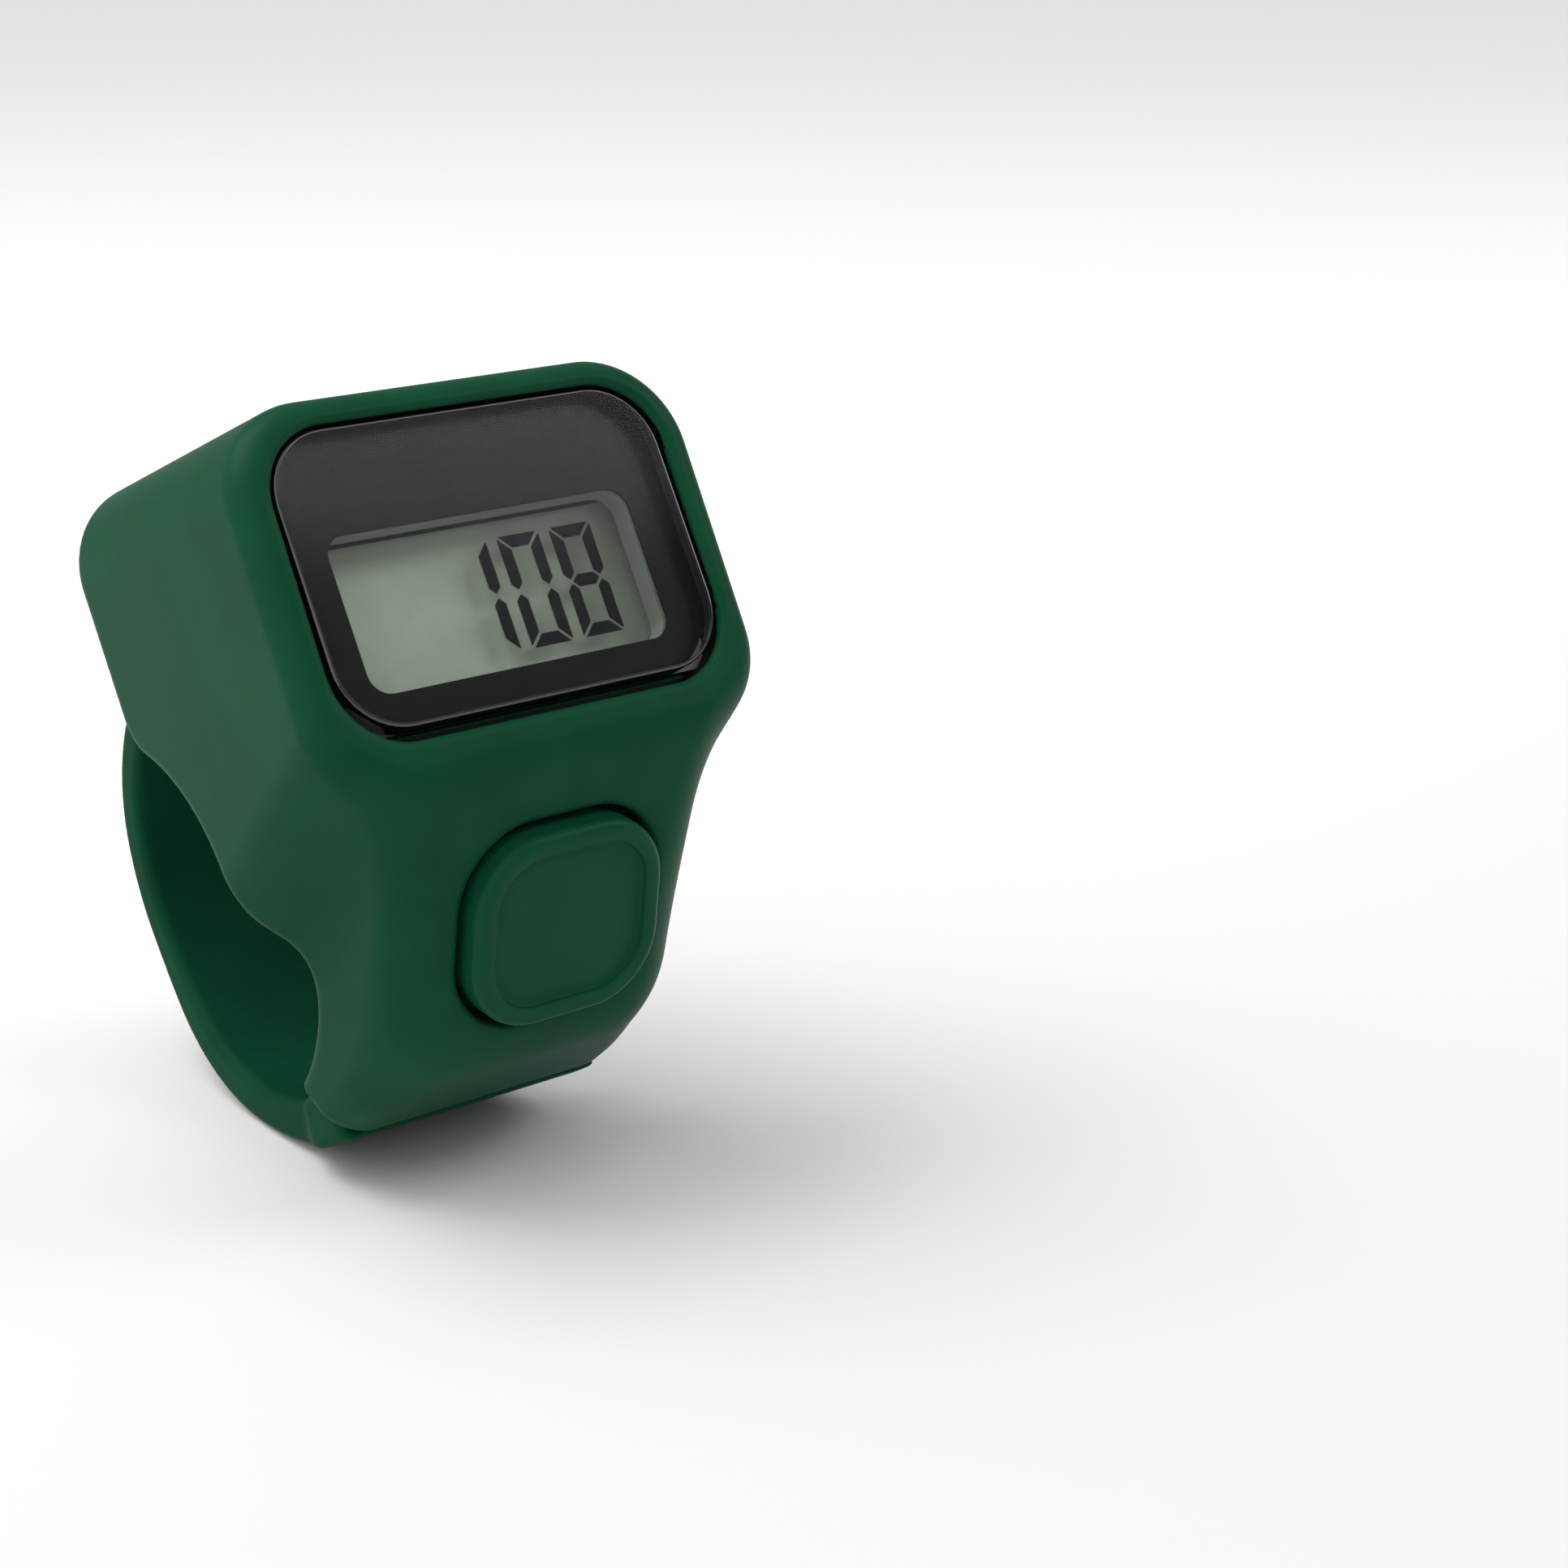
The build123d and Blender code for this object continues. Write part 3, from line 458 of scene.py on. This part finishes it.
def strap_side():
    """Side view of the strap from the tail's end to the lip."""
    half = STRAP_T / 2
    lip_way = HOOK_END - FLARE_TURN - 90
    reach = np.array([math.cos(math.radians(lip_way)), math.sin(math.radians(lip_way))])
    flare = HOOK_AT + ring(HOOK_END, HOOK_IN + half + FLARE_R)
    tip = flare + np.array([-reach[1], reach[0]]) * FLARE_R + reach * LIP_LEN
    start = -TAIL_UP * PARTING
    way = TAIL_END / np.hypot(*TAIL_END)
    inner = start + way * math.sqrt(FINGER_R**2 - PARTING**2)
    gap = start - BASE_AT
    lead = gap @ way
    outer = gap + way * (-lead + math.sqrt(lead**2 - gap @ gap + BASE_R**2))
    first = math.degrees(math.atan2(inner[1], inner[0]))
    last = math.degrees(math.atan2(outer[1], outer[0]))
    flex, base, hook = 180 + FLEX_AT, 180 + BASE_END, 180 + HOOK_END
    pieces = [arc((0, 0), FINGER_R, first, flex - first, 40),
              arc(SWEEP_AT, SWEEP_R, flex, HOOK_TURN - flex, 70),
              arc(HOOK_AT, HOOK_IN, HOOK_TURN, hook - HOOK_TURN, 50),
              arc(flare, FLARE_R + half, HOOK_END, -FLARE_TURN, 30),
              arc(tip, half, lip_way + 90, -180, 24),
              arc(flare, FLARE_R - half, lip_way + 90, FLARE_TURN, 30),
              arc(HOOK_AT, HOOK_R, hook, HOOK_TURN - hook, 50),
              arc(SWEEP_AT, BAND_R, HOOK_TURN, base - HOOK_TURN, 60),
              arc(BASE_AT, BASE_R, base, last - base, 50)]
    return np.concatenate(pieces), tip[0] + half


STRAP_SIDE_PATH, TIP_Y = strap_side()
STRAP_SIDE = Distance(STRAP_SIDE_PATH, (-16, -14), (20, 8))
BASE_Y = -np.hypot(*TAIL_END) - STRAP_T
STRAP_PLAN = Distance(rounded_path([
    (STRAP_BASE_HALF, BASE_Y, 0), (STRAP_HALF, 0, STRAP_PLAN_R), (STRAP_HALF, TIP_Y, LIP_CORNER_R),
    (-STRAP_HALF, TIP_Y, LIP_CORNER_R), (-STRAP_HALF, 0, STRAP_PLAN_R),
    (-STRAP_BASE_HALF, BASE_Y, 0)]), (-8, -16), (8, 20))


def strap_field(x, y, z):
    """The strap, as wide as the tail on the thick wedge at its root."""
    turn = np.degrees(np.arctan2(-z, -y))
    wedge = np.where(y < 0, WEDGE_OUT * (1 - ease(turn, *WEDGE_EASE)), 0)
    return both(STRAP_SIDE(y, z), STRAP_PLAN(x, y) - wedge, STRAP_ROUND)


# Materials
def linear(colour):
    """Hex colour to linear values."""
    parts = [int(colour[i:i + 2], 16) / 255 for i in (1, 3, 5)]
    return [c / 12.92 if c <= 0.04045 else ((c + 0.055) / 1.055) ** 2.4 for c in parts] + [1.0]


def material(name):
    """A new material with its nodes, links and shader."""
    made = bpy.data.materials.new(name)
    made.use_nodes = True
    return made, made.node_tree.nodes, made.node_tree.links, made.node_tree.nodes["Principled BSDF"]


def varied(name, dark, light, rough, scale=260, grain=9000, bump=0.03, specular=0.5):
    """Moulded plastic or rubber: mottled colour, uneven gloss and a fine grain."""
    made, nodes, links, shader = material(name)
    place = nodes.new("ShaderNodeTexCoord")
    cloud = nodes.new("ShaderNodeTexNoise")
    cloud.inputs["Scale"].default_value = scale
    cloud.inputs["Detail"].default_value = 5
    links.new(place.outputs["Object"], cloud.inputs["Vector"])
    ramp = nodes.new("ShaderNodeValToRGB")
    ramp.color_ramp.elements[0].position = 0.3
    ramp.color_ramp.elements[1].position = 0.7
    ramp.color_ramp.elements[0].color = linear(dark)
    ramp.color_ramp.elements[1].color = linear(light)
    links.new(cloud.outputs["Fac"], ramp.inputs["Fac"])
    links.new(ramp.outputs["Color"], shader.inputs["Base Color"])
    fine = nodes.new("ShaderNodeTexNoise")
    fine.inputs["Scale"].default_value = grain
    fine.inputs["Detail"].default_value = 3
    links.new(place.outputs["Object"], fine.inputs["Vector"])
    gloss = nodes.new("ShaderNodeMapRange")
    gloss.inputs["To Min"].default_value = rough - 0.04
    gloss.inputs["To Max"].default_value = rough + 0.04
    links.new(cloud.outputs["Fac"], gloss.inputs["Value"])
    links.new(gloss.outputs["Result"], shader.inputs["Roughness"])
    relief = nodes.new("ShaderNodeBump")
    relief.inputs["Strength"].default_value = bump
    relief.inputs["Distance"].default_value = 0.0001
    links.new(fine.outputs["Fac"], relief.inputs["Height"])
    links.new(relief.outputs["Normal"], shader.inputs["Normal"])
    shader.inputs["Specular IOR Level"].default_value = specular
    return made


GREEN = varied("shell_green", "#09402A", "#0C472F", 0.42, specular=0.06)
BUTTON_GREEN = varied("button_green", "#09422B", "#0C4930", 0.36, specular=0.07)
STRAP_GREEN = varied("strap_green", "#073A25", "#0A412B", 0.5, specular=0.03)
# Painted shade: black laid on the lens pocket's wall and floor for the dark gap round the lens.
POCKET_SHADE = varied("pocket_painted_shade", "#040405", "#060607", 0.6, specular=0.1)
# Painted shade: glossy black for the darkness seen through the clear lens's sides and bevel.
LENS_SIDE_SHADE = varied("lens_side_painted_shade", "#050506", "#08080A", 0.12, specular=1.0)
BLACK = varied("mask_black", "#08080A", "#0B0B0D", 0.5, specular=0.05)
INK = varied("lcd_ink", "#0C0F12", "#101316", 0.5, specular=0.05)
REFLECTOR = varied("lcd_background", "#B8C2B5", "#C0CABD", 0.6, scale=900, bump=0.02)
FRAME_GREY = varied("bezel_grey", "#7C827C", "#848A84", 0.55)
BOARD = varied("board_green", "#123F22", "#17492A", 0.45)
DARK = varied("dark_plastic", "#141414", "#1A1A1A", 0.5)
STEEL = varied("plain_steel", "#B9B8B4", "#C4C3BF", 0.3)
AMBER = varied("ribbon_amber", "#A86A20", "#B87628", 0.4)


def clear(name, tint, rough, index):
    """Clear lens or glass."""
    made, nodes, links, shader = material(name)
    shader.inputs["Base Color"].default_value = linear(tint)
    shader.inputs["Transmission Weight"].default_value = 1.0
    shader.inputs["Roughness"].default_value = rough
    shader.inputs["IOR"].default_value = index
    return made


LENS = clear("lens_clear", "#F4F4F4", 0.11, 1.18)
LCD_GLASS = clear("lcd_glass", "#E8EEE6", 0.05, 1.25)


# Pieces
def add_piece(name, points, faces, look, body, nodes=(), slot=None, flat=0):
    """A smooth mesh piece on a body, standing for CAD nodes; its last faces can be flat."""
    mesh = bpy.data.meshes.new(name)
    mesh.from_pydata(to_world(points).tolist(), [], [list(map(int, face)) for face in faces])
    mesh.materials.append(look)
    smooth = len(mesh.polygons) - flat
    mesh.polygons.foreach_set("use_smooth", [True] * smooth + [False] * flat)
    mesh.update()
    piece = bpy.data.objects.new(name, mesh)
    bpy.context.collection.objects.link(piece)
    if body:
        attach(piece, body)
    for node in nodes:
        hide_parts(node)
    return piece


def paint(piece, look, chosen):
    """Give the chosen faces of a piece a second look."""
    piece.data.materials.append(look)
    piece.data.polygons.foreach_set("material_index", np.asarray(chosen, int))


def in_pocket(x, y, z):
    """Is a point on the wall or the floor of the lens pocket, where the gap's shade is painted?"""
    inside = round_box(x, y - POCKET_UP, POCKET_HALF, POCKET_R) < 0.05
    return inside & (z > LEDGE_Z - 0.05) & (z < lip_height(y) - LIP_ROUND)


points, faces = surface_net(shell_field, *SHELL_BOX, STEP)
shell = add_piece("shell", points, faces, GREEN, "case", ["front_shell"], "shell_green")
# Painted shade: the pocket's wall and floor are made black for the dark gap round the lens.
paint(shell, POCKET_SHADE, in_pocket(*points[faces].mean(1).T))
add_piece("liner", *surface_net(liner_field, *LINER_BOX, STEP), STRAP_GREEN, "case",
          ["strap_base"], "strap_green")
strap = add_piece("strap", *surface_net(strap_field, *STRAP_BOX, STEP), STRAP_GREEN, None,
                  ["strap_hook"], "strap_green")
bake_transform(strap)


def box_ring(half, radius, count=12):
    """Rounded rectangle as a ring of points."""
    corners = [(half[0], -half[1], radius), (half[0], half[1], radius),
               (-half[0], half[1], radius), (-half[0], -half[1], radius)]
    return rounded_path(corners, count)


def stack(rings, origin, across, up, over):
    """Rings of (u, v) at heights, joined into a closed form on a plane."""
    points = []
    faces = []
    size = len(rings[0][0])
    for flat, height in rings:
        points.append(origin + flat[:, :1] * across + flat[:, 1:] * up + height * over)
    for level in range(len(rings) - 1):
        for i in range(size):
            j = (i + 1) % size
            low = level * size
            faces.append([low + i, low + j, low + size + j, low + size + i])
    faces.append(list(range(size))[::-1])
    faces.append([(len(rings) - 1) * size + i for i in range(size)])
    return np.concatenate(points), faces


X_WAY = np.array([1.0, 0, 0])


def count_button():
    """Count button: flange, rounded border, slightly sunk bare panel; profile in (inset, height)."""
    rings = []
    profile = [(-1.0, -2.0), (-1.0, -1.5), (0, -1.5), (0, -0.8), (0, BUTTON_RISE - BORDER_R)]
    profile += [(BORDER_R - BORDER_R * math.cos(t), BUTTON_RISE - BORDER_R + BORDER_R * math.sin(t))
                for t in np.linspace(0.2, math.pi / 2, 7)]
    profile += [(0.74, BUTTON_RISE), (0.80, BUTTON_RISE - 0.02), (0.83, BUTTON_RISE - 0.06),
                (0.85, BUTTON_RISE - 0.2), (0.88, BUTTON_RISE - 0.26), (0.95, BUTTON_RISE - PANEL_DROP),
                (1.1, BUTTON_RISE - PANEL_DROP), (2.0, BUTTON_RISE - PANEL_DROP)]
    for inset, height in profile:
        half = (BUTTON_HALF[0] - inset, BUTTON_HALF[1] - inset)
        rings.append((box_ring(half, max(BUTTON_R - inset, 0.4)), height))
    origin = np.array([0, *BUTTON_AT])
    up = np.array([0, *-down(BUTTON_TURN)])
    over = np.array([0, *out_of(BUTTON_TURN)])
    return stack(rings, origin, X_WAY, up, over)


def reset_button():
    """Round reset button with a small dimple; profile in (radius, height)."""
    turns = np.linspace(0, 2 * math.pi, 72, endpoint=False)
    circle = np.stack([np.cos(turns), np.sin(turns)], 1)
    profile = [(RESET_R, -2.0), (RESET_R, -0.3), (RESET_R, 0.0)]
    profile += [(RESET_R - RESET_DOME + RESET_DOME * math.cos(t), 0.02 + 0.58 * math.sin(t))
                for t in np.linspace(0.1, math.pi / 2, 9)]
    profile += [(1.4, 0.655), (0.9, 0.685), (0.62, 0.69), (0.55, 0.68),
                (0.48, 0.63), (0.4, 0.59), (0.2, 0.57), (0.06, 0.57)]
    rings = [(circle * radius, height) for radius, height in profile]
    origin = np.array([0, *RESET_AT])
    over = np.array([0, *END_OUT])
    return stack(rings, origin, X_WAY, np.cross(over, X_WAY), over)


def display_lens():
    """Lens with a rounded bevel, a hair above the film behind it; profile in (inset, height)."""
    profile = [(0, MASK_Z + LENS_LIFT), (0, FACE_Z - LENS_BEVEL)]
    profile += [(LENS_BEVEL * (1 - math.cos(t)), FACE_Z - LENS_BEVEL * (1 - math.sin(t)))
                for t in np.linspace(0.3, math.pi / 2, 5)]
    profile += [(LENS_BEVEL + 0.1, FACE_Z)]
    rings = [(box_ring((LENS_HALF[0] - i, LENS_HALF[1] - i), LENS_R - i), z) for i, z in profile]
    return stack(rings, np.array([0, FACE_UP, 0]), X_WAY, np.array([0, 1.0, 0]), np.array([0, 0, 1.0]))


add_piece("count_key_cap", *count_button(), BUTTON_GREEN, "count_key", ["count_button"],
          "button_green", flat=2)
add_piece("reset_key_cap", *reset_button(), BUTTON_GREEN, "reset_key", ["reset_button"],
          "button_green", flat=2)
points, faces = display_lens()
lens = add_piece("lens", points, faces, LENS, "case", ["display_lens"], "lens_clear", flat=2)
# Painted shade: the lens's sides and bevel are made glossy black for the darkness seen through its clear
# edges.
paint(lens, LENS_SIDE_SHADE, [len(face) == 4 and points[face[0], 2] < FACE_Z - 0.001 for face in faces])
lens.visible_shadow = False

LOOKS = {"mask_film": BLACK, "lens_tape": DARK, "lcd_panel": LCD_GLASS, "lcd_reflector": REFLECTOR,
         "lcd_digits": INK, "lcd_frame": FRAME_GREY, "contact_strips": DARK, "main_board": BOARD,
         "controller_chip": DARK, "board_parts": AMBER, "button_cell": STEEL, "cell_plate_negative": STEEL,
         "cell_clip_positive": STEEL, "count_switch_case": DARK, "count_switch_stem": DARK,
         "switch_board": BOARD, "flex_link": AMBER, "reset_switch_case": DARK, "reset_switch_stem": DARK,
         "rear_cover": DARK, "cover_screws": STEEL}
for node, look in LOOKS.items():
    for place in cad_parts[node].material_slots:
        place.material = look
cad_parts["lcd_panel"].visible_shadow = False

# Floor, light and camera
FLOOR_Z = CAD_BOX[0][2] - 0.0001
mesh = bpy.data.meshes.new("floor")
FLOOR_CORNERS = [(-3, -3), (3, -3), (3, 3), (-3, 3)]
mesh.from_pydata([(x, y, FLOOR_Z) for x, y in FLOOR_CORNERS], [], [(0, 1, 2, 3)])
floor = bpy.data.objects.new("floor", mesh)
bpy.context.collection.objects.link(floor)
look, nodes, links, shader = material("floor_white")
place = nodes.new("ShaderNodeTexCoord")
axes = nodes.new("ShaderNodeSeparateXYZ")
links.new(place.outputs["Object"], axes.inputs["Vector"])
depth = nodes.new("ShaderNodeMapRange")
depth.interpolation_type = "SMOOTHSTEP"
depth.inputs["From Min"].default_value = -0.06
depth.inputs["From Max"].default_value = 0.10
links.new(axes.outputs["Y"], depth.inputs["Value"])
pale = nodes.new("ShaderNodeValToRGB")
pale.color_ramp.elements[0].color = (0.75, 0.75, 0.74, 1)
pale.color_ramp.elements[1].color = (0.96, 0.96, 0.96, 1)
links.new(depth.outputs["Result"], pale.inputs["Fac"])
links.new(pale.outputs["Color"], shader.inputs["Base Color"])
shader.inputs["Roughness"].default_value = 0.6
mesh.materials.append(look)

world = bpy.data.worlds.new("studio")
bpy.context.scene.world = world
world.use_nodes = True
world.node_tree.nodes["Background"].inputs["Color"].default_value = (1, 1, 1, 1)
world.node_tree.nodes["Background"].inputs["Strength"].default_value = 0.38


def lamp(name, place, target, size, power, roll=0):
    """Rectangular lamp aimed at a target, rolled about its aim in degrees."""
    data = bpy.data.lights.new(name, "AREA")
    data.shape = "RECTANGLE"
    data.size, data.size_y = size
    data.energy = power
    made = bpy.data.objects.new(name, data)
    bpy.context.collection.objects.link(made)
    made.location = place
    aim = (Vector(target) - Vector(place)).to_track_quat("-Z", "Y")
    made.rotation_euler = (aim @ Quaternion((0, 0, 1), math.radians(roll))).to_euler()


def sun(name, way, strength, spread):
    """Distant lamp shining along a way, spread in degrees."""
    data = bpy.data.lights.new(name, "SUN")
    data.energy = strength
    data.angle = math.radians(spread)
    made = bpy.data.objects.new(name, data)
    bpy.context.collection.objects.link(made)
    made.rotation_euler = Vector(way).to_track_quat("-Z", "Y").to_euler()


sun("key", (0.70, -0.12, -0.70), 1.9, 110)
lamp("rim", (-0.12, 0.13, 0.31), (0, 0, 0.012), (0.25, 0.25), 0.7)
lamp("softbox", (0.27, -0.178, 0.265), (0, -0.011, 0.016), (0.35, 0.125), 0.38, roll=-42)

CAMERA_AT = Vector((-0.069604, -0.110686, 0.045605))
CAMERA_WAY = Vector((0.61346, 0.72944, -0.30263))
data = bpy.data.cameras.new("camera")
data.sensor_width = 36
data.lens = 74.53
data.clip_start = 0.001
camera = bpy.data.objects.new("camera", data)
bpy.context.collection.objects.link(camera)
camera.location = CAMERA_AT
camera.rotation_euler = CAMERA_WAY.to_track_quat("-Z", "Y").to_euler()
bpy.context.scene.camera = camera
bpy.context.scene.view_settings.view_transform = "Standard"
